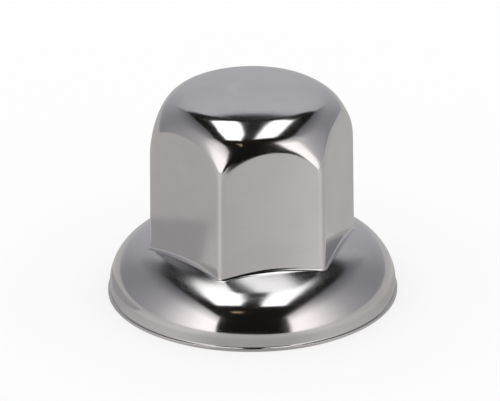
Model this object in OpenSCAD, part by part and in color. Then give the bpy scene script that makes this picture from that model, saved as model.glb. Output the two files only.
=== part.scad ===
// Push-on cover for a wheel nut: a one-piece shell drawn from thin sheet.
// A round crown runs down into a hexagonal socket that grips the nut, and the
// socket opens into a round bell flange that hides the nut's captive washer.
// Every inner surface is its outer surface moved in by the sheet, so the outer
// and the inner form come from the same modules with a different inset.
// The origin is the centre of the rim, on the plane that the cover stands on.

/* [Nut] */
// Across-flats size of the nut that the cover pushes on to
nut_af = 32; // [27:0.5:36]
// Room between nut and socket, measured across the flats
nut_room = 0.4; // [0.1:0.05:0.8]

/* [Sheet] */
// Thickness of the drawn sheet
sheet = 0.6; // [0.4:0.05:1]

/* [Hexagonal body] */
// Outside radius of the six upright corners
corner_r = 1.6; // [1.2:0.1:3]
// Overall height, rim to top of the crown
height = 40.6; // [36:0.2:60]

/* [Crown] */
// Radius of the shallow dome on top
dome_r = 65; // [45:1:120]
// Radius of the shoulder that turns the dome down
shoulder_r = 7.2; // [6:0.1:8.5]
// Radius of the flank below the shoulder, which ends upright
flank_r = 15; // [12:0.5:18]
// Angle in degrees that the flank turns through
flank_turn = 33; // [26:1:40]
// How far the crown's widest circle lies outside the corners
crown_over = 0.05; // [0.03:0.01:0.3]

/* [Arched tops of the flats] */
// Radius of the roll that blends a flat into the crown
blend_r = 3.8; // [3:0.1:4.4]
// Radius of the arch across the top of each flat
arch_r = 15; // [12:0.5:20]

/* [Bell flange] */
// Diameter of the bell at its widest
bell_d = 52.7; // [50:0.1:58]
// Height up to which the bell's wall is upright
bell_wall_h = 2.25; // [1.4:0.05:3.5]
// Radius of the bell's lower turn
bell_turn_r = 4.8; // [3:0.1:6]
// Angle in degrees that the lower turn takes
bell_turn = 12.5; // [5:0.5:30]
// Radius of the large turn above the lower one
bell_arc_r = 9.1; // [7.5:0.1:11]
// Angle in degrees that the large turn takes
bell_arc_turn = 51.5; // [46:0.5:60]
// Radius of the bell's flatter top, which the hexagon rises from
bell_top_r = 29; // [16:1:36]

/* [Lip] */
// How far the trimmed lip stands out from the bell
lip_out = 0.35; // [0.2:0.05:1]
// Height of the lip
lip_h = 0.6; // [0.3:0.05:0.9]
// Radius of the hollow between lip and bell
lip_hollow_r = 0.25; // [0.1:0.05:0.45]

/* [Hidden] */
$fn = 96;

STEEL = "#b9babd";
SIDES = 6;
TURN = 360 / SIDES;
// Degrees short of the crown's tangent point at which the roll goes straight,
// so that roll and crown cross cleanly.
blend_lead = 7;
// How far a cut runs past the face that it opens.
past = 1;
// Degrees that a slice runs on under its straight neighbour.
overlap = 10;
// A length that reaches past the whole cover.
reach = bell_d + height;

// Hexagon: half its outside width, the circle of its corner centres and reach.
flat_half = (nut_af + nut_room) / 2 + sheet;
corner_pcr = (flat_half - corner_r) / cos(TURN / 2);
corner_reach = corner_pcr + corner_r;

// Crown: centres of the flank, the shoulder and the dome, on one tangent chain.
crown_r = corner_reach + crown_over;
flank_x = crown_r - flank_r;
shoulder_x = flank_x + (flank_r - shoulder_r) * cos(flank_turn);
dome_z = height - dome_r;
shoulder_z = dome_z + sqrt(pow(dome_r - shoulder_r, 2) - pow(shoulder_x, 2));
flank_z = shoulder_z - (flank_r - shoulder_r) * sin(flank_turn);
dome_edge = atan2(shoulder_z - dome_z, shoulder_x);

// Arch: the roll's centre line is a circle on each flat. Its top lies where the
// roll touches the shoulder from inside.
roll_y = flat_half - blend_r;
roll_rise = sqrt(pow(shoulder_r - blend_r, 2) - pow(roll_y - shoulder_x, 2));
arch_z = shoulder_z + roll_rise - arch_r;
roll_turn = atan2(roll_rise, roll_y - shoulder_x) - blend_lead;

// Bell: centres of the lower turn, the large turn and the top, on one tangent chain.
bell_r = bell_d / 2;
bell_turn_x = bell_r - bell_turn_r;
bell_arc_x = bell_turn_x - (bell_arc_r - bell_turn_r) * cos(bell_turn);
bell_arc_z = bell_wall_h - (bell_arc_r - bell_turn_r) * sin(bell_turn);
bell_arc_end = bell_turn + bell_arc_turn;
bell_top_x = bell_arc_x - (bell_top_r - bell_arc_r) * cos(bell_arc_end);
bell_top_z = bell_arc_z - (bell_top_r - bell_arc_r) * sin(bell_arc_end);
// The body starts inside the bell, half way up the bell's large turn.
body_foot = bell_arc_z + bell_arc_r / 2;

// The curved half sections below are a straight-sided core, a slice of a disc
// for each wide turn and a whole disc for each tight turn. A tight disc touches
// its neighbours from inside, so the pieces overlap and only the turns show.

// Slice of a disc from angle a0 to a1.
module slice(centre, r, a0, a1) {
    far = 2 * r;
    translate(centre)
        intersection() {
            circle(r = r);
            polygon([
                [0, 0],
                far * [cos(a0), sin(a0)],
                far * [cos(a1), sin(a1)]
            ]);
        }
}

// Half section of the crown, moved in by inset.
module crown_section(inset) {
    slice([0, dome_z], dome_r - inset, dome_edge, 90);
    slice([flank_x, flank_z], flank_r - inset, -overlap, flank_turn);
    translate([shoulder_x, shoulder_z])
        circle(r = shoulder_r - inset);
    polygon([
        [0, dome_z],
        [crown_r - inset, dome_z],
        [crown_r - inset, flank_z],
        [shoulder_x, shoulder_z],
        [0, shoulder_z]
    ]);
}

// Round-cornered hexagon with two corners on X.
module hexagon(inset) {
    r = corner_r - inset;
    polygon([
        for (i = [0 : SIDES - 1], side = [-1, 1])
            corner_pcr * [cos(i * TURN), sin(i * TURN)]
                + r * [cos((i + side / 2) * TURN), sin((i + side / 2) * TURN)]
    ]);
    for (i = [0 : SIDES - 1])
        rotate(i * TURN)
            translate([corner_pcr, 0])
                circle(r = r);
}

// Half section through one pair of flats, as distance from the arch's own axis:
// a level face, the roll round its edge, and a straight flare to the middle.
module arch_section(inset) {
    r = blend_r - inset;
    lift = [arch_r, roll_y] + r * [sin(roll_turn), cos(roll_turn)];
    translate([arch_r, roll_y])
        circle(r = r);
    polygon([
        [0, 0],
        [lift[0] + lift[1] / tan(roll_turn), 0],
        lift,
        [arch_r, flat_half - inset],
        [0, flat_half - inset]
    ]);
}

// Space between one pair of flats: arched at the top, straight below.
module flat_pair(inset) {
    width = 2 * (flat_half - inset);
    translate([0, 0, arch_z])
        rotate([90, 0, 0])
            rotate_extrude() {
                arch_section(inset);
                mirror([0, 1]) arch_section(inset);
            }
    translate([-reach, -width / 2, 0])
        cube([2 * reach, width, arch_z]);
}

// Hexagonal body under its crown, filled.
module body_form(inset) {
    intersection() {
        rotate_extrude() crown_section(inset);
        translate([0, 0, body_foot])
            linear_extrude(reach) hexagon(inset);
        flat_pair(inset);
        rotate(TURN) flat_pair(inset);
        rotate(2 * TURN) flat_pair(inset);
    }
}

// Half section of the bell, from depth below the rim up, moved in by inset.
module bell_section(inset, depth) {
    top = bell_top_z + bell_top_r - inset;
    intersection() {
        union() {
            slice([bell_top_x, bell_top_z], bell_top_r - inset, bell_arc_end, 90);
            slice([bell_arc_x, bell_arc_z], bell_arc_r - inset, bell_turn, bell_arc_end + overlap);
            translate([bell_turn_x, bell_wall_h])
                circle(r = bell_turn_r - inset);
        }
        translate([0, -depth])
            square(reach);
    }
    polygon([
        [0, -depth],
        [bell_r - inset, -depth],
        [bell_r - inset, bell_wall_h],
        [bell_top_x, top],
        [0, top]
    ]);
}

// Lip: a square edge that stands out at the rim, with a hollow above it.
module lip_section() {
    translate([bell_r - sheet / 2, 0])
        square([lip_out + sheet / 2, lip_h]);
    difference() {
        translate([bell_r - sheet / 2, lip_h / 2])
            square([lip_hollow_r + sheet / 2, lip_hollow_r + lip_h / 2]);
        translate([bell_r + lip_hollow_r, lip_h + lip_hollow_r])
            circle(r = lip_hollow_r);
    }
}

module nut_cover() {
    color(STEEL)
        difference() {
            union() {
                rotate_extrude() {
                    bell_section(0, 0);
                    lip_section();
                }
                body_form(0);
            }
            rotate_extrude() bell_section(sheet, past);
            body_form(sheet);
        }
}

nut_cover();
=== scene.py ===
"""Dressed model of a push-on wheel nut cover, drawn from one piece of thin sheet.

The shell is spun as a round cup with a bell flange, and its body is then pressed into a
hexagon, in the order in which the real one is made. Lengths are in metres.
"""

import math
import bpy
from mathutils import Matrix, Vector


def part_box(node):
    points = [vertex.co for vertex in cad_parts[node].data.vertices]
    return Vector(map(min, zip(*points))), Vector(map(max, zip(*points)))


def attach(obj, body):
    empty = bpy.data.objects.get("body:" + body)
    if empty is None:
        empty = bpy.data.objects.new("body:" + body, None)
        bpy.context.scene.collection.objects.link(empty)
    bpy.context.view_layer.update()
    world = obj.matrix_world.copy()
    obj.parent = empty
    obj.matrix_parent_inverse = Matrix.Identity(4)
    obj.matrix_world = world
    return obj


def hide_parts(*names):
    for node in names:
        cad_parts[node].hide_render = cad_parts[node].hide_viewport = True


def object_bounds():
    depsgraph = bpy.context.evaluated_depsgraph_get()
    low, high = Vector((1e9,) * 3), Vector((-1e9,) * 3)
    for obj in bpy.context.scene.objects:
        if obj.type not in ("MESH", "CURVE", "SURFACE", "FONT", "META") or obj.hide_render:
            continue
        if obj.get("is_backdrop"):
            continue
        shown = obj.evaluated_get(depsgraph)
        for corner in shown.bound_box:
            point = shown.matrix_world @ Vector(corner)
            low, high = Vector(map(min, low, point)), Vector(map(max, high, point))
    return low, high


bl_info = {
    "name": "Wheel Nut Cover",
    "version": (1, 0, 0),
    "blender": (4, 5, 0),
    "location": "View3D > Sidebar > Nut Cover",
    "description": "Builds a polished, drawn sheet cover for a wheel nut on its packed frame",
    "category": "Add Mesh",
}

import bmesh
import bpy
from mathutils import Matrix, Vector

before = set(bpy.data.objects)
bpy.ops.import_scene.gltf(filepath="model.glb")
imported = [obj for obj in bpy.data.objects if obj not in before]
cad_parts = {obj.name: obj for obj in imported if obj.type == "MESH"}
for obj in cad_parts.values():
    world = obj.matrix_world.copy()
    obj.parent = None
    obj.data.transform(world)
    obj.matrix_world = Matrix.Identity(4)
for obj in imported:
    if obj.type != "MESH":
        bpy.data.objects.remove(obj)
NODE = "nut_cover"
LOW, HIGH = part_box(NODE)
FRAME_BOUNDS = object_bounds()

MM = 0.001
SIDES = 6
HALF_SIDE = math.pi / SIDES
QUARTER = math.pi / 2
# Columns of a spun skin, and how strongly they crowd towards the corners.
COLUMNS = 336
CORNER_CROWDING = 0.68
# Rows of each part of the outer skin's half section, the inner skin's share of them, and the
# rows of the lip's turns and of the hollow above it.
ROWS = {"dome": 24, "shoulder": 22, "flank": 26, "side": 30, "bend": 9, "top": 14, "arc": 22, "turn": 5}
INNER_SHARE = 0.4
LIP_ROWS = 4
HOLLOW_ROWS = 6
# Vertices closer than this are one.
WELD = 0.0005 * MM
# Halvings that find how far out a flat and its roll reach.
PRESS_STEPS = 22
# Turn from a corner within which the flat beyond it counts too.
CORNER_ZONE = math.radians(12)
# Drop over which slopes are taken where a roll meets the crown, and the sharpest turn that
# still widens the blend there.
CREASE_STEP = 0.1 * MM
CREASE_TURN = 1.5
# Materials of the shell's faces and of the light tent's panels, in their order.
OUTSIDE, INSIDE, EDGE = range(3)
# The tent's last panel is a dark patch of painted shadow on its table, left of the cover.
DARK, SIDE_WALL, BACK_WALL, TABLE, SOFTBOX, LAMP, SHADOW_PATCH = range(7)
# How far the softboxes hang under the ceiling, and how far the dark patch of painted shadow
# lies over the rim's level and the table under it, so that no two lie in one plane.
PANEL_GAP = 1 * MM
SHADOW_LIFT = 0.5 * MM
# Half the floor's width, in metres.
FLOOR_HALF = 3


def length(name, description, default):
    """A length in metres, shown in scene units."""
    return bpy.props.FloatProperty(
        name=name, description=description, default=default, min=0, unit="LENGTH"
    )


def angle(name, description, degrees):
    """An angle, given in degrees and kept in radians."""
    return bpy.props.FloatProperty(
        name=name, description=description, default=math.radians(degrees), subtype="ANGLE"
    )


def share(name, description, default, high=1.0):
    """A plain number from 0 to high."""
    return bpy.props.FloatProperty(
        name=name, description=description, default=default, min=0, max=high
    )


def colour(name, description, default):
    """A linear colour."""
    return bpy.props.FloatVectorProperty(
        name=name, description=description, default=default, size=3, min=0, max=1, subtype="COLOR"
    )


class CoverSizes(bpy.types.PropertyGroup):
    """Sizes of the drawn shell."""

    height: length("Height", "Rim to top of the crown", HIGH.z - LOW.z)
    lip_d: length("Lip Diameter", "Widest diameter, across the trimmed lip", HIGH.x - LOW.x)
    nut_af: length("Nut Across Flats", "Size of the nut that the cover pushes on to", 32 * MM)
    nut_room: length("Nut Room", "Room between nut and socket across the flats", 0.4 * MM)
    sheet: length("Sheet", "Thickness of the sheet", 0.6 * MM)
    draft: angle("Draft", "Lean of the flats, wider towards the rim", 0.45)
    corner_r: length("Corner Radius", "Outside radius of the upright corners", 1.6 * MM)
    crown_over: length("Crown Over", "How far the crown lies outside the corners", 0.05 * MM)
    dome_r: length("Dome Radius", "Radius of the shallow dome on top", 65 * MM)
    shoulder_r: length("Shoulder Radius", "Radius that turns the dome down", 7.2 * MM)
    flank_r: length("Flank Radius", "Radius below the shoulder", 15 * MM)
    flank_turn: angle("Flank Turn", "Angle that the flank turns through", 33)
    blend_r: length("Blend Radius", "Radius that rolls a flat into the crown", 3.8 * MM)
    arch_r: length("Arch Radius", "Radius of the arch that ends each flat", 15 * MM)
    roll_lead: angle("Roll Lead", "Turn short of the crown at which the roll goes straight", 7)
    crease: length("Crease", "Length over which roll and crown flow together", 2 * MM)
    flat_bend_r: length("Flat Bend", "Hollow bend between bell and flat, mid-flat", 1.0 * MM)
    corner_bend_r: length("Corner Bend", "Hollow bend between bell and corner", 0.6 * MM)
    bell_wall_h: length("Bell Wall", "Height up to which the bell is upright", 2.25 * MM)
    bell_turn_r: length("Bell Turn Radius", "Radius of the bell's lower turn", 4.8 * MM)
    bell_turn: angle("Bell Turn", "Angle that the lower turn takes", 12.5)
    bell_arc_r: length("Bell Arc Radius", "Radius of the large turn above it", 9.1 * MM)
    bell_arc_turn: angle("Bell Arc Turn", "Angle that the large turn takes", 51.5)
    bell_top_r: length("Bell Top Radius", "Radius of the bell's flatter top", 29 * MM)
    lip_out: length("Lip Out", "How far the lip stands out from the bell", 0.35 * MM)
    lip_h: length("Lip Height", "Height of the lip", 0.6 * MM)
    lip_hollow_r: length("Lip Hollow", "Radius of the hollow above the lip", 0.25 * MM)
    edge_r: length("Edge Radius", "Rounding of the trimmed edges", 0.09 * MM)


class SteelFinish(bpy.types.PropertyGroup):
    """Colours and gloss of the polished outside, the drawn inside and the trimmed edge."""

    polished: colour("Polished", "Colour of the mirror polish", (0.71, 0.705, 0.71))
    clouded: colour("Clouded", "Colour where the polish is hazy", (0.68, 0.672, 0.67))
    worn: colour("Worn", "Colour of rubbed ridges and fine scratches", (0.76, 0.75, 0.745))
    inside: colour("Inside", "Colour of the unpolished inside", (0.50, 0.49, 0.48))
    stained: colour("Stained", "Colour of the drawing film left inside", (0.37, 0.355, 0.34))
    edge: colour("Edge", "Colour of the trimmed edge", (0.66, 0.655, 0.65))
    gloss: share("Roughness", "Roughness of the mirror polish", 0.08)
    haze: share("Haze", "Roughness where the polish is hazy", 0.12)
    foot_haze: share("Foot Haze", "Roughness more where the wheel can't reach, at the flats' foot", 0.07)
    foot_low: length("Foot Low", "Height at which that haze begins", 8 * MM)
    foot_high: length("Foot High", "Height at which it ends", 12 * MM)
    cloud_size: length("Cloud Size", "Size of the hazy patches", 9 * MM)
    line_pitch: length("Line Pitch", "Spacing of the polishing lines", 0.12 * MM)
    line_depth: length("Line Depth", "Depth of the polishing lines", 0.00004 * MM)
    wave_size: length("Wave Size", "Size of the faint waves left by drawing", 5 * MM)
    wave_depth: length("Wave Depth", "Depth of those waves", 0.004 * MM)
    grain_size: length("Grain Size", "Size of the inside's dull grain", 0.25 * MM)
    grain_depth: length("Grain Depth", "Depth of the inside's dull grain", 0.004 * MM)


class StudioLook(bpy.types.PropertyGroup):
    """Floor, light tent and camera."""

    floor: colour("Floor", "Colour of the floor", (0.97, 0.97, 0.97))
    sky: share("Sky", "Level of the soft light all round", 1.0, 2.0)
    floor_white: share("Floor White", "How far the seen floor is lifted to plain white", 0.65)
    tent_left: length("Tent Left", "Axis to the tent's left wall, at the back", 0.61)
    tent_right: length("Tent Right", "Axis to the tent's right wall, at the back", 0.63)
    tent_splay: length("Tent Splay", "How much wider each wall stands at the opening", 0.1)
    tent_front: length("Tent Front", "Axis to the tent's dark opening", 1.3)
    tent_back: length("Tent Back", "Axis to the tent's back wall", 1.07)
    tent_top: length("Tent Top", "Table to the tent's ceiling", 1.0)
    table_front: length("Table Front", "Axis to the table's front edge, right of the cover", 0.095)
    table_run: length("Table Run", "Axis to where that edge turns off to the front", 0.034)
    table_far: length("Table Far", "How far left that edge ends at the opening", 0.14)
    shade_near: length("Shade Near", "Axis to where the cover's shade on the table thins out", 0.031)
    shade_far: length("Shade Far", "Axis to where that shade ends", 0.038)
    # The next three place a dark patch of painted shadow on the tent's table, left of the cover.
    shadow_near: length("Shadow Near", "Axis to the near side of the darker card, on the left", 0.030)
    shadow_far: length("Shadow Far", "Axis to the far side of that card", 0.054)
    shadow_front: length("Shadow Front", "How far that card reaches in front of the axis", 0.0125)
    box_left: length("Box Left", "Axis to the outer side of the left softbox", 0.435)
    box_right: length("Box Right", "Axis to the outer side of the right softbox", 0.395)
    box_front: length("Box Front", "Axis to the front of the left softbox", 0.45)
    box_ahead: length("Box Ahead", "How much further forward the right softbox reaches", 0.04)
    box_back: length("Box Back", "Axis to the back of both softboxes, at their inner sides", 0.83)
    box_corner: length("Box Corner", "Axis to the back of both softboxes, at their outer sides", 0.57)
    box_taper: length("Box Taper", "How far the outer sides draw in behind the axis", 0.1)
    gap_left: length("Gap Left", "Axis to the inner side of the left softbox", 0.075)
    gap_right: length("Gap Right", "Axis to the inner side of the right softbox", 0.12)
    gap_flare: length("Gap Flare", "How much further out the left one's inner side stands in front", 0.06)
    gap_close: length("Gap Close", "How much further in the right one's inner side stands in front", 0.02)
    lamp_left: length("Lamp Left", "Axis to the small warm lamp in the opening", 0.17)
    lamp_ahead: length("Lamp Ahead", "Axis to the front of that lamp", 0.87)
    lamp_size: length("Lamp Size", "Width of that lamp", 0.14)
    box_level: share("Softbox Level", "Brightness of the softboxes", 1.7, 3.0)
    front_cloth: colour("Front Cloth", "Glow of the side walls near the opening", (1.0, 0.95, 0.94))
    front_level: share("Front Level", "Brightness of the side walls near the opening", 1.45, 3.0)
    front_top: share("Front Top", "Share of that brightness left at the ceiling", 0.35)
    side_cloth: colour("Side Cloth", "Glow of the side walls beside the cover", (0.27, 0.27, 0.29))
    back_cloth: colour("Back Cloth", "Glow of the back wall", (0.58, 0.58, 0.605))
    back_side: colour("Back Side", "Glow of the tent's back corners", (0.42, 0.42, 0.45))
    back_low: share("Back Low", "Share of the back wall's brightness left at half height", 0.88)
    table: colour("Table", "Glow of the table inside the tent", (0.515, 0.50, 0.495))
    table_shade: share("Table Shade", "Share of that glow left beside the cover", 0.84)
    # Glow of that patch of painted shadow on the table.
    shadow_patch: colour("Shadow Patch", "Glow of the darker card left of the cover", (0.37, 0.36, 0.365))
    table_ahead: colour("Table Ahead", "Glow of the table towards the opening", (0.52, 0.51, 0.50))
    table_slant: colour("Table Slant", "Glow of the table towards its front corners", (0.82, 0.79, 0.78))
    dark: colour("Dark", "What little comes from the opening and the ceiling", (0.009, 0.008, 0.007))
    lamp: colour("Lamp", "Glow of the small warm lamp", (0.8, 0.6, 0.4))
    azimuth: angle("Azimuth", "Camera's turn round the part", -12.6)
    elevation: angle("Elevation", "Camera's height above the horizon", 24.96)
    roll: angle("Roll", "Camera's lean", -0.42)
    distance: length("Distance", "Camera to its aim", 1500 * MM)
    lens: share("Lens", "Focal length in millimetres", 588, 2000)
    aim_height: length("Aim Height", "Height on the axis that the camera's aim starts from", 20 * MM)
    aim_left: length("Aim Left", "How far left of that the camera aims", 0.38 * MM)
    aim_below: length("Aim Below", "How far below that the camera aims", 1.836 * MM)


class CoverForm:
    """Arcs of the drawn form for a skin that lies inset inside the outer one."""

    def __init__(self, sizes, inset):
        self.draft = math.tan(sizes.draft)
        self.flat = (sizes.nut_af + sizes.nut_room) / 2 + sizes.sheet - inset
        corner = (self.flat + inset - sizes.corner_r) / math.cos(HALF_SIDE) + sizes.corner_r
        # Two flats eased together over this width round their corner to its radius.
        self.corner_ease = 4 * (sizes.corner_r - inset) * (1 / math.cos(HALF_SIDE) - 1)
        crown = corner + sizes.crown_over
        self.crown = crown - inset
        # Crown: dome, shoulder and flank are tangent arcs in one half section.
        shoulder_in = sizes.flank_r - sizes.shoulder_r
        self.flank_x = crown - sizes.flank_r
        self.shoulder_x = self.flank_x + shoulder_in * math.cos(sizes.flank_turn)
        self.dome_z = sizes.height - sizes.dome_r
        self.shoulder_z = self.dome_z + math.sqrt(
            (sizes.dome_r - sizes.shoulder_r) ** 2 - self.shoulder_x**2
        )
        self.flank_z = self.shoulder_z - shoulder_in * math.sin(sizes.flank_turn)
        self.dome_r = sizes.dome_r - inset
        self.shoulder_r = sizes.shoulder_r - inset
        self.flank_r = sizes.flank_r - inset
        self.flank_turn = sizes.flank_turn
        self.dome_edge = math.atan2(self.shoulder_z - self.dome_z, self.shoulder_x)
        # Arch: each flat rolls over into the crown round a circle on the flat.
        self.arch_r = sizes.arch_r
        self.roll_r = sizes.blend_r - inset
        self.roll_y = self.flat + inset - sizes.blend_r
        rise = math.sqrt(
            (sizes.shoulder_r - sizes.blend_r) ** 2 - (self.roll_y - self.shoulder_x) ** 2
        )
        self.arch_z = self.shoulder_z + rise - self.arch_r
        self.roll_turn = math.atan2(rise, self.roll_y - self.shoulder_x) - sizes.roll_lead
        self.crease = sizes.crease
        # Bell: a small lower turn, a large turn and a flatter top, tangent in turn.
        self.bell = sizes.lip_d / 2 - sizes.lip_out
        self.bell_wall_h = sizes.bell_wall_h
        self.bell_turn = sizes.bell_turn
        self.turn_x = self.bell - sizes.bell_turn_r
        self.turn_r = sizes.bell_turn_r - inset
        arc_in = sizes.bell_arc_r - sizes.bell_turn_r
        self.arc_x = self.turn_x - arc_in * math.cos(sizes.bell_turn)
        self.arc_z = sizes.bell_wall_h - arc_in * math.sin(sizes.bell_turn)
        self.arc_r = sizes.bell_arc_r - inset
        self.arc_end = sizes.bell_turn + sizes.bell_arc_turn
        top_in = sizes.bell_top_r - sizes.bell_arc_r
        self.top_x = self.arc_x - top_in * math.cos(self.arc_end)
        self.top_z = self.arc_z - top_in * math.sin(self.arc_end)
        self.top_r = sizes.bell_top_r - inset
        self.flat_bend_r = sizes.flat_bend_r + inset
        self.corner_bend_r = sizes.corner_bend_r + inset
        self.mid_z = (self.arch_z + self.top_z + self.top_r) / 2

    def crown_reach(self, z):
        """Radius of the round crown at height z."""
        if z > self.shoulder_z + self.shoulder_r * math.sin(self.dome_edge):
            return math.sqrt(max(self.dome_r**2 - (z - self.dome_z) ** 2, 0))
        if z > self.shoulder_z + self.shoulder_r * math.sin(self.flank_turn):
            return self.shoulder_x + math.sqrt(self.shoulder_r**2 - (z - self.shoulder_z) ** 2)
        if z > self.flank_z:
            return self.flank_x + math.sqrt(self.flank_r**2 - (z - self.flank_z) ** 2)
        return self.crown

    def flat_half(self, z):
        """Half across the flats at height z, with the draft."""
        return self.flat + (self.mid_z - min(z, self.arch_z + self.arch_r)) * self.draft

    def roll_depth(self, from_arch, z):
        """How far a flat or its roll stands from the axis, at a distance from the arch's centre."""
        flat = self.flat_half(z)
        past = from_arch - self.arch_r
        if past <= 0:
            return flat
        round_end = self.roll_r * math.sin(self.roll_turn)
        flare = max(past - round_end, 0) * math.tan(self.roll_turn)
        past = min(past, round_end)
        return flat - self.roll_r + math.sqrt(self.roll_r**2 - past**2) - flare

    def pressed_reach(self, turn, z):
        """Reach of one flat and its roll, at height z and a turn from the flat's middle."""
        if z <= self.arch_z:
            return self.flat_half(z) / math.cos(turn)
        rise = z - self.arch_z
        low, high = 0.0, self.crown / math.cos(HALF_SIDE)
        for _ in range(PRESS_STEPS):
            reach = (low + high) / 2
            from_arch = math.hypot(reach * math.sin(turn), rise)
            if reach * math.cos(turn) < self.roll_depth(from_arch, z):
                low = reach
            else:
                high = reach
        return reach

    def socket_reach(self, off_corner, z):
        """Reach of the flats, their rolls and the round corner between them."""
        reach = self.pressed_reach(HALF_SIDE - off_corner, z)
        if off_corner < CORNER_ZONE:
            beyond = self.pressed_reach(HALF_SIDE + off_corner, z)
            reach = soft_min(reach, beyond, self.corner_ease)
        return reach

    def body_reach(self, around, z):
        """Reach of the pressed body at height z and an angle around, with corners on X."""
        off_corner = abs((around + HALF_SIDE) % (2 * HALF_SIDE) - HALF_SIDE)
        socket, crown = self.socket_reach(off_corner, z), self.crown_reach(z)
        if z <= self.flank_z or abs(socket - crown) > 2 * self.crease:
            return min(socket, crown)
        # The blend is as long everywhere on the surface, so its width follows both slopes.
        below = z - CREASE_STEP
        slope = (crown - self.crown_reach(below)) / CREASE_STEP
        turn = (socket - self.socket_reach(off_corner, below)) / CREASE_STEP - slope
        turn = min(abs(turn) / math.hypot(1, slope), CREASE_TURN)
        return soft_min(socket, crown, self.crease * turn)

    def bend(self, wall, around):
        """Hollow bend from a wall at that reach to the bell: centre, radius and lean of its foot."""
        at_corner = (1 + math.cos(SIDES * around)) / 2
        radius = self.flat_bend_r + (self.corner_bend_r - self.flat_bend_r) * at_corner
        x = wall + radius
        lean = math.asin((x - self.top_x) / (self.top_r + radius))
        return x, self.top_z + (self.top_r + radius) * math.cos(lean), radius, lean


def soft_min(a, b, width):
    """The smaller of two numbers, rounded where they come within width of each other."""
    gap = max(width - abs(a - b), 0)
    return min(a, b) - (gap * gap / width / 4 if width > 0 else 0)


def arc(x, z, radius, start, end, steps):
    """Points of an arc in the half section, without its first one."""
    turns = [start + (end - start) * i / steps for i in range(1, steps + 1)]
    return [Vector((x + radius * math.cos(t), 0, z + radius * math.sin(t))) for t in turns]


def straight(start, end, steps):
    """Points of a straight stretch, without its first one."""
    return [start.lerp(end, i / steps) for i in range(1, steps + 1)]


def cup_section(form, row_share):
    """Half section of the round cup, from the top down to the end of the bell's lower turn."""
    rows = {part: max(2, round(count * row_share)) for part, count in ROWS.items()}
    x, z, bend_r, lean = form.bend(form.crown, 0)
    points = [Vector((0, 0, form.dome_z + form.dome_r))]
    points += arc(0, form.dome_z, form.dome_r, QUARTER, form.dome_edge, rows["dome"])
    points += arc(
        form.shoulder_x, form.shoulder_z, form.shoulder_r,
        form.dome_edge, form.flank_turn, rows["shoulder"],
    )
    points += arc(form.flank_x, form.flank_z, form.flank_r, form.flank_turn, 0, rows["flank"])
    points += straight(points[-1], Vector((form.crown, 0, z)), rows["side"])
    points += arc(x, z, bend_r, 2 * QUARTER, 3 * QUARTER - lean, rows["bend"])
    points += arc(form.top_x, form.top_z, form.top_r, QUARTER - lean, form.arc_end, rows["top"])
    points += arc(form.arc_x, form.arc_z, form.arc_r, form.arc_end, form.bell_turn, rows["arc"])
    points += arc(form.turn_x, form.bell_wall_h, form.turn_r, form.bell_turn, 0, rows["turn"])
    return points


def lip_section(sizes, start):
    """Half section of the lip, from the bell's upright wall round to the level rim."""
    edge = sizes.edge_r
    out = sizes.lip_d / 2
    bell = out - sizes.lip_out
    hollow_x = bell + sizes.lip_hollow_r
    hollow_z = sizes.lip_h + sizes.lip_hollow_r
    points = straight(start, Vector((bell, 0, hollow_z)), LIP_ROWS)
    points += arc(hollow_x, hollow_z, sizes.lip_hollow_r, 2 * QUARTER, 3 * QUARTER, HOLLOW_ROWS)
    points += arc(out - edge, sizes.lip_h - edge, edge, QUARTER, 0, LIP_ROWS)
    points += straight(points[-1], Vector((out, 0, edge)), 2)
    points += arc(out - edge, edge, edge, 0, -QUARTER, LIP_ROWS)
    return points


def rim_section(sizes, start):
    """Half section of the inner wall down to the level rim, and across it to the lip."""
    edge = sizes.edge_r
    out = sizes.lip_d / 2
    wall = out - sizes.lip_out - sizes.sheet
    points = straight(start, Vector((wall, 0, edge)), 3)
    points += arc(wall + edge, edge, edge, 2 * QUARTER, 3 * QUARTER, LIP_ROWS)
    points += straight(points[-1], Vector((out - edge, 0, 0)), 1)
    return points


def spin_skin(mesh, section):
    """Spins a half section, which starts on the axis, into a round skin. Returns its vertices."""
    before = set(mesh.verts)
    chain = [mesh.verts.new(point) for point in section]
    edges = [mesh.edges.new(pair) for pair in zip(chain, chain[1:])]
    bmesh.ops.spin(
        mesh, geom=chain + edges, cent=(0, 0, 0), axis=(0, 0, 1), dvec=(0, 0, 0),
        angle=2 * math.pi, steps=COLUMNS, use_merge=True, use_duplicate=False,
    )
    skin = [vert for vert in mesh.verts if vert not in before]
    bmesh.ops.remove_doubles(mesh, verts=skin, dist=WELD)
    return [vert for vert in mesh.verts if vert not in before]


def crowd_corners(skin):
    """Turns the columns about the axis so that they stand closer at the corners."""
    for vert in skin:
        around = math.atan2(vert.co.y, vert.co.x)
        shift = -CORNER_CROWDING * math.sin(SIDES * around) / SIDES
        vert.co = Matrix.Rotation(shift, 3, "Z") @ vert.co


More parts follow.
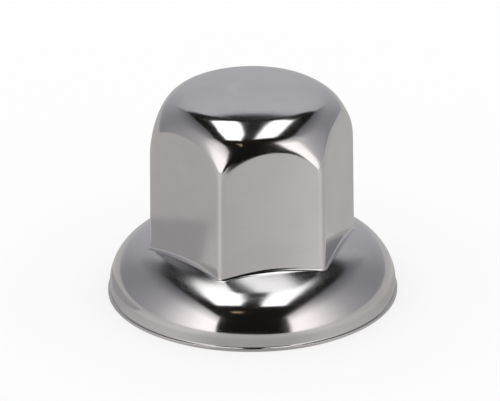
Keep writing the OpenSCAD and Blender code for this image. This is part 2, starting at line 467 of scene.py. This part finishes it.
def press_body(skin, form):
    """Presses the round cup's body into the hexagon and draws the bell's top in to it."""
    round_x, round_z, round_r, round_lean = form.bend(form.crown, 0)
    foot_x = round_x - round_r * math.sin(round_lean)
    for vert in skin:
        reach, z = math.hypot(vert.co.x, vert.co.y), vert.co.z
        # The middle of the dome stays as it was spun.
        if reach < form.roll_y / 2:
            continue
        around = math.atan2(vert.co.y, vert.co.x)
        wall = form.body_reach(around, round_z)
        x, bend_z, bend_r, lean = form.bend(wall, around)
        top_tilt = math.atan2(z - form.top_z, reach - form.top_x)
        if z > form.flank_z:
            # Crown and arches keep their height.
            reach_new = form.body_reach(around, z)
        elif z > round_z - WELD / 5:
            # The flats below are stretched to where the hollow bend begins.
            z = form.flank_z + (z - form.flank_z) * (form.flank_z - bend_z) / (form.flank_z - round_z)
            reach_new = form.body_reach(around, z)
        elif reach < foot_x:
            # The hollow bend goes with the wall and takes the radius of its place.
            turned = math.atan2(z - round_z, reach - round_x) % (2 * math.pi) - math.pi
            turned = math.pi + turned * (QUARTER - lean) / (QUARTER - round_lean)
            reach_new = x + bend_r * math.cos(turned)
            z = bend_z + bend_r * math.sin(turned)
        elif top_tilt > form.arc_end:
            # The bell's top is drawn in along its own arc, up to the bend.
            part = (QUARTER - top_tilt - round_lean) / (QUARTER - form.arc_end - round_lean)
            tilt = QUARTER - lean - part * (QUARTER - form.arc_end - lean)
            reach_new = form.top_x + form.top_r * math.cos(tilt)
            z = form.top_z + form.top_r * math.sin(tilt)
        else:
            continue
        vert.co.x *= reach_new / reach
        vert.co.y *= reach_new / reach
        vert.co.z = z


def add_skin(mesh, sizes, inset, row_share, end_section):
    """Spins one skin, which lies inset inside the outer one, and presses it to its form."""
    form = CoverForm(sizes, inset)
    section = cup_section(form, row_share)
    section += end_section(sizes, section[-1])
    skin = spin_skin(mesh, section)
    crowd_corners(skin)
    press_body(skin, form)
    return set(skin)


def build_shell(sizes):
    """The drawn shell as one closed mesh: outer and inner skin, joined at the lip."""
    mesh = bmesh.new()
    add_skin(mesh, sizes, 0, 1, lip_section)
    inner = add_skin(mesh, sizes, sizes.sheet, INNER_SHARE, rim_section)
    hollow_end = sizes.lip_d / 2 - sizes.lip_out + sizes.lip_hollow_r
    for face in mesh.faces:
        face.smooth = True
        face.material_index = OUTSIDE
        middle = face.calc_center_median()
        if middle.z < sizes.lip_h and middle.xy.length > hollow_end:
            face.material_index = EDGE
        elif inner.issuperset(face.verts):
            face.material_index = EDGE if middle.z < sizes.edge_r / 4 else INSIDE
    lip = [vert for vert in mesh.verts if vert.is_boundary]
    bmesh.ops.remove_doubles(mesh, verts=lip, dist=WELD)
    bmesh.ops.recalc_face_normals(mesh, faces=mesh.faces)
    return mesh


def node(nodes, kind, name, **values):
    """A shader node, with its inputs or settings set by name."""
    made = nodes.new(kind)
    made.name = made.label = name
    for key, value in values.items():
        if hasattr(made, key):
            setattr(made, key, value)
        else:
            made.inputs[key.replace("_", " ")].default_value = value
    return made


def metal(name):
    """A bare metal material: its tree, its shader and the part's own coordinates."""
    material = bpy.data.materials.new(name)
    material.use_nodes = True
    tree = material.node_tree
    shader = tree.nodes["Principled BSDF"]
    shader.inputs["Metallic"].default_value = 1
    place = node(tree.nodes, "ShaderNodeTexCoord", "Place on the cover")
    return material, tree, shader, place.outputs["Object"]


def noise(tree, place, name, size, detail=2.0):
    """Noise with features of a size along X, Y and Z. Gives its value from 0 to 1."""
    spread = node(tree.nodes, "ShaderNodeMapping", name + " spread")
    spread.inputs["Scale"].default_value = [1 / part for part in size]
    grain = node(tree.nodes, "ShaderNodeTexNoise", name, Scale=1, Detail=detail)
    tree.links.new(place, spread.inputs["Vector"])
    tree.links.new(spread.outputs["Vector"], grain.inputs["Vector"])
    return grain.outputs["Fac"]


def ranged(tree, value, name, start, end, low=0.0, high=1.0):
    """A value taken from start..end to low..high, held at both ends."""
    step = node(
        tree.nodes, "ShaderNodeMapRange", name,
        From_Min=start, From_Max=end, To_Min=low, To_Max=high,
    )
    tree.links.new(value, step.inputs["Value"])
    return step.outputs["Result"]


def combined(tree, name, operation, first, second):
    """Two values put together by a maths operation. The second may be a number."""
    made = node(tree.nodes, "ShaderNodeMath", name, operation=operation)
    tree.links.new(first, made.inputs[0])
    if isinstance(second, float):
        made.inputs[1].default_value = second
    else:
        tree.links.new(second, made.inputs[1])
    return made.outputs[0]


def tinted(tree, name, share_of_second, first, second):
    """A colour between two. The first may be a colour or the socket of one."""
    mix = node(tree.nodes, "ShaderNodeMix", name, data_type="RGBA")
    tree.links.new(share_of_second, mix.inputs["Factor"])
    if isinstance(first, bpy.types.NodeSocket):
        tree.links.new(first, mix.inputs["A"])
    else:
        mix.inputs["A"].default_value = (*first, 1)
    mix.inputs["B"].default_value = (*second, 1)
    return mix.outputs["Result"]


def dented(tree, name, height, depth, under=None):
    """Bump from a height of 0 to 1 with its real depth, over an earlier bump."""
    bump = node(tree.nodes, "ShaderNodeBump", name, Distance=depth)
    tree.links.new(height, bump.inputs["Height"])
    if under:
        tree.links.new(under, bump.inputs["Normal"])
    return bump.outputs["Normal"]


def ridges(tree, start, end):
    """How much a place stands out as a convex ridge, from 0 to 1."""
    shape = node(tree.nodes, "ShaderNodeNewGeometry", "Shape of the surface")
    return ranged(tree, shape.outputs["Pointiness"], "Ridges", start, end)


def finished(material, shader, colour_there, rough, bump):
    """The metal, with its colour, roughness and bump fed into its shader."""
    tree = material.node_tree
    tree.links.new(colour_there, shader.inputs["Base Color"])
    tree.links.new(rough, shader.inputs["Roughness"])
    tree.links.new(bump, shader.inputs["Normal"])
    return material


def polished_steel(finish):
    """Mirror polish with hazy clouds, fine lines round the axis and rubbed ridges."""
    material, tree, shader, place = metal("polished_steel")
    cloud, pitch, wave = finish.cloud_size, finish.line_pitch, finish.wave_size
    clouds = noise(tree, place, "Hazy clouds", (cloud, cloud, cloud), 4.0)
    clouds = ranged(tree, clouds, "Haze", 0.4, 0.66)
    lines = noise(tree, place, "Polishing lines", (cloud, cloud, pitch), 3.0)
    scratches = ranged(tree, lines, "Fine scratches", 0.6, 0.72)
    waves = noise(tree, place, "Drawing waves", (wave, wave, wave * 2), 1.0)
    worn = combined(tree, "Rubbed", "MAXIMUM", ridges(tree, 0.503, 0.52), scratches)
    worn = combined(tree, "Rubbed share", "MULTIPLY", worn, 0.5)
    colour_there = tinted(tree, "Clouded colour", clouds, finish.polished, finish.clouded)
    colour_there = tinted(tree, "Worn colour", worn, colour_there, finish.worn)
    rough = ranged(tree, clouds, "Cloud roughness", 0, 1, finish.gloss, finish.haze)
    marks = ranged(tree, lines, "Line roughness", 0.35, 0.7, 0, 0.03)
    rough = combined(tree, "Roughness", "ADD", rough, marks)
    height = node(tree.nodes, "ShaderNodeSeparateXYZ", "Height over the rim")
    tree.links.new(place, height.inputs[0])
    height, low, high = height.outputs["Z"], finish.foot_low, finish.foot_high
    middle = (low + high) / 2
    foot = ranged(tree, height, "Foot from below", low, middle, 0, finish.foot_haze)
    foot_end = ranged(tree, height, "Foot from above", middle, high, 1, 0)
    foot = combined(tree, "Foot haze", "MULTIPLY", foot, foot_end)
    rough = combined(tree, "Roughness with foot", "ADD", rough, foot)
    bump = dented(tree, "Waves", waves, finish.wave_depth)
    bump = dented(tree, "Lines", lines, finish.line_depth, bump)
    return finished(material, shader, colour_there, rough, bump)


def drawn_inside(finish):
    """Unpolished sheet inside: dull grain, upright draw marks and a stained film."""
    material, tree, shader, place = metal("drawn_inside")
    cloud, grain = finish.cloud_size, finish.grain_size
    film = noise(tree, place, "Film", (cloud, cloud, cloud / 2), 5.0)
    film = ranged(tree, film, "Stain", 0.38, 0.68)
    marks = noise(tree, place, "Draw marks", (grain * 2, grain * 2, cloud * 2), 3.0)
    grains = noise(tree, place, "Dull grain", (grain, grain, grain), 3.0)
    colour_there = tinted(tree, "Film colour", film, finish.inside, finish.stained)
    rubbed = ranged(tree, marks, "Rubbed marks", 0.58, 0.72, 0, 0.35)
    colour_there = tinted(tree, "Mark colour", rubbed, colour_there, finish.worn)
    rough = ranged(tree, film, "Film roughness", 0, 1, 0.28, 0.46)
    dull = ranged(tree, grains, "Grain", 0.3, 0.7, 0, 0.08)
    rough = combined(tree, "Roughness", "ADD", rough, dull)
    bump = dented(tree, "Grain bump", grains, finish.grain_depth)
    bump = dented(tree, "Mark bump", marks, finish.grain_depth, bump)
    return finished(material, shader, colour_there, rough, bump)


def trimmed_edge(finish):
    """Trimmed edge of the sheet: short cutting marks and bright rubbed corners."""
    material, tree, shader, place = metal("trimmed_edge")
    grain = finish.grain_size
    cuts = noise(tree, place, "Cutting marks", (grain, grain, grain * 4), 3.0)
    bare = ranged(tree, cuts, "Cuts", 0.4, 0.65)
    colour_there = tinted(tree, "Cut colour", bare, finish.edge, finish.clouded)
    colour_there = tinted(tree, "Worn colour", ridges(tree, 0.52, 0.6), colour_there, finish.worn)
    rough = ranged(tree, cuts, "Cut roughness", 0.3, 0.7, 0.15, 0.26)
    bump = dented(tree, "Cut bump", cuts, finish.grain_depth / 2)
    return finished(material, shader, colour_there, rough, bump)


def glow(name, stops, reading=None, fade=None):
    """A material that only glows: in one colour, or in stops along a reading of the tent's place.

    The reading takes the tree and gives a socket from 0 to 1. The fade does so too, for the
    share of the brightness.
    """
    material = bpy.data.materials.new(name)
    material.use_nodes = True
    tree = material.node_tree
    tree.nodes.remove(tree.nodes["Principled BSDF"])
    level = max(max(colour_there) for at, colour_there in stops)
    stops = [(at, [part / level for part in colour_there] + [1]) for at, colour_there in stops]
    emission = node(tree.nodes, "ShaderNodeEmission", "Glow", Color=stops[0][1], Strength=level)
    tree.links.new(emission.outputs[0], tree.nodes["Material Output"].inputs["Surface"])
    if reading:
        ramp = node(tree.nodes, "ShaderNodeValToRGB", "Cloth")
        ramp.color_ramp.interpolation = "B_SPLINE"
        for at, colour_there in stops[1:-1]:
            ramp.color_ramp.elements.new(at)
        for element, (at, colour_there) in zip(ramp.color_ramp.elements, stops):
            element.position = at
            element.color = colour_there
        tree.links.new(reading(tree), ramp.inputs[0])
        tree.links.new(ramp.outputs["Color"], emission.inputs["Color"])
    if fade:
        level = combined(tree, "Faded brightness", "MULTIPLY", fade(tree), level)
        tree.links.new(level, emission.inputs["Strength"])
    return material


def along(axis, start, end, low=0.0, high=1.0):
    """A reading that runs from low to high between two places on one axis of the tent."""
    def reading(tree):
        place = node(tree.nodes, "ShaderNodeTexCoord", "Place in the tent")
        parts = node(tree.nodes, "ShaderNodeSeparateXYZ", "Along the tent")
        tree.links.new(place.outputs["Object"], parts.inputs[0])
        return ranged(tree, parts.outputs[axis], "Fade", start, end, low, high)
    return reading


def sideways(tree):
    """A reading that is 0 straight ahead of the cover or behind it and 1 straight beside it."""
    place = node(tree.nodes, "ShaderNodeTexCoord", "Place in the tent")
    aim = node(tree.nodes, "ShaderNodeVectorMath", "Direction", operation="NORMALIZE")
    parts = node(tree.nodes, "ShaderNodeSeparateXYZ", "Sideways")
    size = node(tree.nodes, "ShaderNodeMath", "Either side", operation="ABSOLUTE")
    tree.links.new(place.outputs["Object"], aim.inputs[0])
    tree.links.new(aim.outputs["Vector"], parts.inputs[0])
    tree.links.new(parts.outputs["X"], size.inputs[0])
    return size.outputs[0]


def off_front(tree):
    """A reading that is 0 straight ahead of the cover, 1 straight beside it and 1 behind it."""
    behind = along("Y", 0, 20 * MM)(tree)
    return combined(tree, "Behind too", "MAXIMUM", sideways(tree), behind)


def off_axis(near, far, low):
    """A reading that runs from low to 1 between two distances from the cover's axis."""
    def reading(tree):
        place = node(tree.nodes, "ShaderNodeTexCoord", "Place on the table")
        reach = node(tree.nodes, "ShaderNodeVectorMath", "Reach", operation="LENGTH")
        tree.links.new(place.outputs["Object"], reach.inputs[0])
        return ranged(tree, reach.outputs["Value"], "Shade of the cover", near, far, low, 1)
    return reading


def floor_paint(look):
    """Pale floor, lifted to white for the camera and clear from below."""
    material = bpy.data.materials.new("pale_floor")
    material.use_nodes = True
    tree = material.node_tree
    tree.nodes.remove(tree.nodes["Principled BSDF"])
    paint = node(tree.nodes, "ShaderNodeBsdfDiffuse", "Pale paint", Color=(*look.floor, 1))
    white = node(tree.nodes, "ShaderNodeEmission", "Plain white")
    clear = node(tree.nodes, "ShaderNodeBsdfTransparent", "Clear from below")
    ray = node(tree.nodes, "ShaderNodeLightPath", "Seen by the camera")
    lift = node(tree.nodes, "ShaderNodeMath", "Lift", operation="MULTIPLY")
    lift.inputs[1].default_value = look.floor_white
    side = node(tree.nodes, "ShaderNodeNewGeometry", "Side of the floor")
    lifted = node(tree.nodes, "ShaderNodeMixShader", "Paint or white")
    sided = node(tree.nodes, "ShaderNodeMixShader", "Above or below")
    for start, end in (
        (ray.outputs["Is Camera Ray"], lift.inputs[0]),
        (lift.outputs[0], lifted.inputs[0]),
        (paint.outputs[0], lifted.inputs[1]),
        (white.outputs[0], lifted.inputs[2]),
        (side.outputs["Backfacing"], sided.inputs[0]),
        (lifted.outputs[0], sided.inputs[1]),
        (clear.outputs[0], sided.inputs[2]),
        (sided.outputs[0], tree.nodes["Material Output"].inputs["Surface"]),
    ):
        tree.links.new(start, end)
    return material


def stage_piece(scene, name, mesh, materials):
    """Puts a mesh into the scene as part of the stage."""
    data = bpy.data.meshes.new(name)
    mesh.to_mesh(data)
    mesh.free()
    for material in materials:
        data.materials.append(material)
    piece = bpy.data.objects.new(name, data)
    scene.collection.objects.link(piece)
    piece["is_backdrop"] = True
    return piece


def build_tent(look):
    """Walls, ceiling, table and softboxes of the light tent, each with its own material."""
    mesh = bmesh.new()
    low = Vector((-look.tent_left, -look.tent_front, -look.tent_top))
    high = Vector((look.tent_right, look.tent_back, look.tent_top))
    bmesh.ops.create_cube(mesh, size=1)
    bmesh.ops.scale(mesh, vec=high - low, verts=mesh.verts)
    bmesh.ops.translate(mesh, vec=(high + low) / 2, verts=mesh.verts)
    for vert in mesh.verts:
        if vert.co.y < 0:
            vert.co.x += math.copysign(look.tent_splay, vert.co.x)
    mesh.normal_update()
    for face in mesh.faces:
        face.material_index = DARK
        if abs(face.normal.x) > 0.5:
            face.material_index = SIDE_WALL
        elif face.normal.y > 0.5:
            face.material_index = BACK_WALL
    under = look.tent_top - PANEL_GAP
    wide = low.x - look.tent_splay
    middle = -look.box_front / 2
    lamp_right = -look.lamp_left
    lamp_left = lamp_right - look.lamp_size
    lamp_back = look.lamp_size / 2 - look.lamp_ahead
    panels = [
        (TABLE, -SHADOW_LIFT, (
            (wide, low.y), (-look.table_far, low.y), (look.table_run, -look.table_front),
            (-wide, -look.table_front), (-wide, high.y), (wide, high.y),
        )),
        # A dark patch of painted shadow on the table, left of the cover, seen only in the metal.
        (SHADOW_PATCH, SHADOW_LIFT, (
            (-look.shadow_far, -look.shadow_front), (-look.shadow_near, -look.shadow_front),
            (-look.shadow_near, look.shadow_front), (-look.shadow_far, look.shadow_front),
        )),
        (SOFTBOX, under, (
            (-look.box_left, -look.box_front), (-look.gap_left - look.gap_flare, -look.box_front),
            (-look.gap_left, middle), (-look.gap_left, look.box_back),
            (look.box_taper - look.box_left, look.box_corner), (-look.box_left, 0),
        )),
        (SOFTBOX, under, (
            (look.gap_right - look.gap_close, -look.box_front - look.box_ahead),
            (look.box_right, -look.box_front - look.box_ahead),
            (look.box_right, 0), (look.box_right - look.box_taper / 2, look.box_corner),
            (look.gap_right, look.box_back), (look.gap_right, 0),
            (look.gap_right - look.gap_close, middle),
        )),
        (LAMP, under, (
            (lamp_left, -look.lamp_ahead), (lamp_right, -look.lamp_ahead),
            (lamp_right, lamp_back), (lamp_left, lamp_back),
        )),
    ]
    for material, z, corners in panels:
        face = mesh.faces.new([mesh.verts.new((x, y, z)) for x, y in corners])
        face.material_index = material
    return mesh


def tent_cloths(look):
    """The light tent's materials, in the order of its panels."""
    front = [part * look.front_level for part in look.front_cloth]
    side, corner, back = look.side_cloth, look.back_side, look.back_cloth
    table, slant = look.table, look.table_slant
    return [
        glow("tent_dark", [(0, look.dark)]),
        glow(
            "tent_sides",
            [(0, front), (0.28, front), (0.5, side), (0.8, side), (1, corner)],
            along("Y", -look.tent_front, look.tent_back),
            along("Z", 0.55 * look.tent_top, look.tent_top, 1, look.front_top),
        ),
        glow(
            "tent_back",
            [(0, back), (0.2, back), (0.5, corner)],
            sideways,
            along("Z", look.tent_top / 2, look.tent_top, look.back_low),
        ),
        glow(
            "tent_table",
            [(0, look.table_ahead), (0.35, table), (0.62, slant), (0.95, table)],
            off_front,
            off_axis(look.shade_near, look.shade_far, look.table_shade),
        ),
        glow("softbox", [(0, [look.box_level] * 3)]),
        glow("warm_lamp", [(0, look.lamp)]),
        # Glow of the patch of painted shadow on the table.
        glow("painted_table_shadow", [(0, look.shadow_patch)]),
    ]


def soft_sky(look):
    """Soft white light from all round."""
    world = bpy.data.worlds.new("studio_world")
    world.use_nodes = True
    background = world.node_tree.nodes["Background"]
    background.inputs["Color"].default_value = (1, 1, 1, 1)
    background.inputs["Strength"].default_value = look.sky
    return world


def place_camera(scene, look):
    """Sets the camera at its angle and distance, with its aim and its lean."""
    camera = bpy.data.objects.new("camera", bpy.data.cameras.new("camera"))
    camera.data.lens = look.lens
    camera.data.clip_start = look.distance / 30
    scene.collection.objects.link(camera)
    scene.camera = camera
    level = math.cos(look.elevation)
    back = Vector((
        math.sin(look.azimuth) * level, -math.cos(look.azimuth) * level, math.sin(look.elevation)
    ))
    turned = (-back).to_track_quat("-Z", "Y").to_matrix().to_4x4()
    right, upward = turned.col[0].to_3d(), turned.col[1].to_3d()
    aim = Vector((0, 0, look.aim_height)) - look.aim_left * right - look.aim_below * upward
    camera.matrix_world = (
        Matrix.Translation(aim + back * look.distance) @ turned @ Matrix.Rotation(look.roll, 4, "Z")
    )


class COVER_OT_shell(bpy.types.Operator):
    """Builds the drawn shell, which stands for the frame's solid"""

    bl_idname = "nut_cover.shell"
    bl_label = "Drawn Shell"

    def execute(self, context):
        scene = context.scene
        data = bpy.data.meshes.new("cover_shell")
        shell = build_shell(scene.cover_sizes)
        shell.to_mesh(data)
        shell.free()
        for make in (polished_steel, drawn_inside, trimmed_edge):
            data.materials.append(make(scene.steel_finish))
        piece = bpy.data.objects.new("cover_shell", data)
        scene.collection.objects.link(piece)
        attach(piece, "root")
        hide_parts(NODE)
        return {"FINISHED"}


class COVER_OT_studio(bpy.types.Operator):
    """Sets the floor, the soft light and the camera"""

    bl_idname = "nut_cover.studio"
    bl_label = "Studio"

    def execute(self, context):
        scene = context.scene
        look = scene.studio_look
        scene.view_settings.view_transform = "Standard"
        scene.world = soft_sky(look)
        floor_mesh = bmesh.new()
        bmesh.ops.create_grid(floor_mesh, x_segments=1, y_segments=1, size=FLOOR_HALF)
        floor = stage_piece(scene, "floor", floor_mesh, [floor_paint(look)])
        floor.visible_glossy = False
        tent = stage_piece(scene, "light_tent", build_tent(look), tent_cloths(look))
        tent.rotation_euler.z = look.azimuth
        tent.visible_camera = False
        tent.visible_diffuse = False
        tent.visible_shadow = False
        place_camera(scene, look)
        return {"FINISHED"}


class COVER_PT_sidebar(bpy.types.Panel):
    """Lists the steps that build the cover and its studio"""

    bl_idname = "COVER_PT_sidebar"
    bl_label = "Nut Cover"
    bl_space_type = "VIEW_3D"
    bl_region_type = "UI"
    bl_category = "Nut Cover"

    def draw(self, context):
        for operator in (COVER_OT_shell, COVER_OT_studio):
            self.layout.operator(operator.bl_idname)


CLASSES = (CoverSizes, SteelFinish, StudioLook, COVER_OT_shell, COVER_OT_studio, COVER_PT_sidebar)


def register():
    for cls in CLASSES:
        bpy.utils.register_class(cls)
    bpy.types.Scene.cover_sizes = bpy.props.PointerProperty(type=CoverSizes)
    bpy.types.Scene.steel_finish = bpy.props.PointerProperty(type=SteelFinish)
    bpy.types.Scene.studio_look = bpy.props.PointerProperty(type=StudioLook)


def unregister():
    del bpy.types.Scene.studio_look
    del bpy.types.Scene.steel_finish
    del bpy.types.Scene.cover_sizes
    for cls in reversed(CLASSES):
        bpy.utils.unregister_class(cls)


def main():
    register()
    bpy.ops.nut_cover.shell()
    bpy.ops.nut_cover.studio()
    boxes = {"frame": FRAME_BOUNDS, "visual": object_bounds()}
    boxes = {name: [list(corner) for corner in box] for name, box in boxes.items()}


if __name__ == "__main__":
    main()
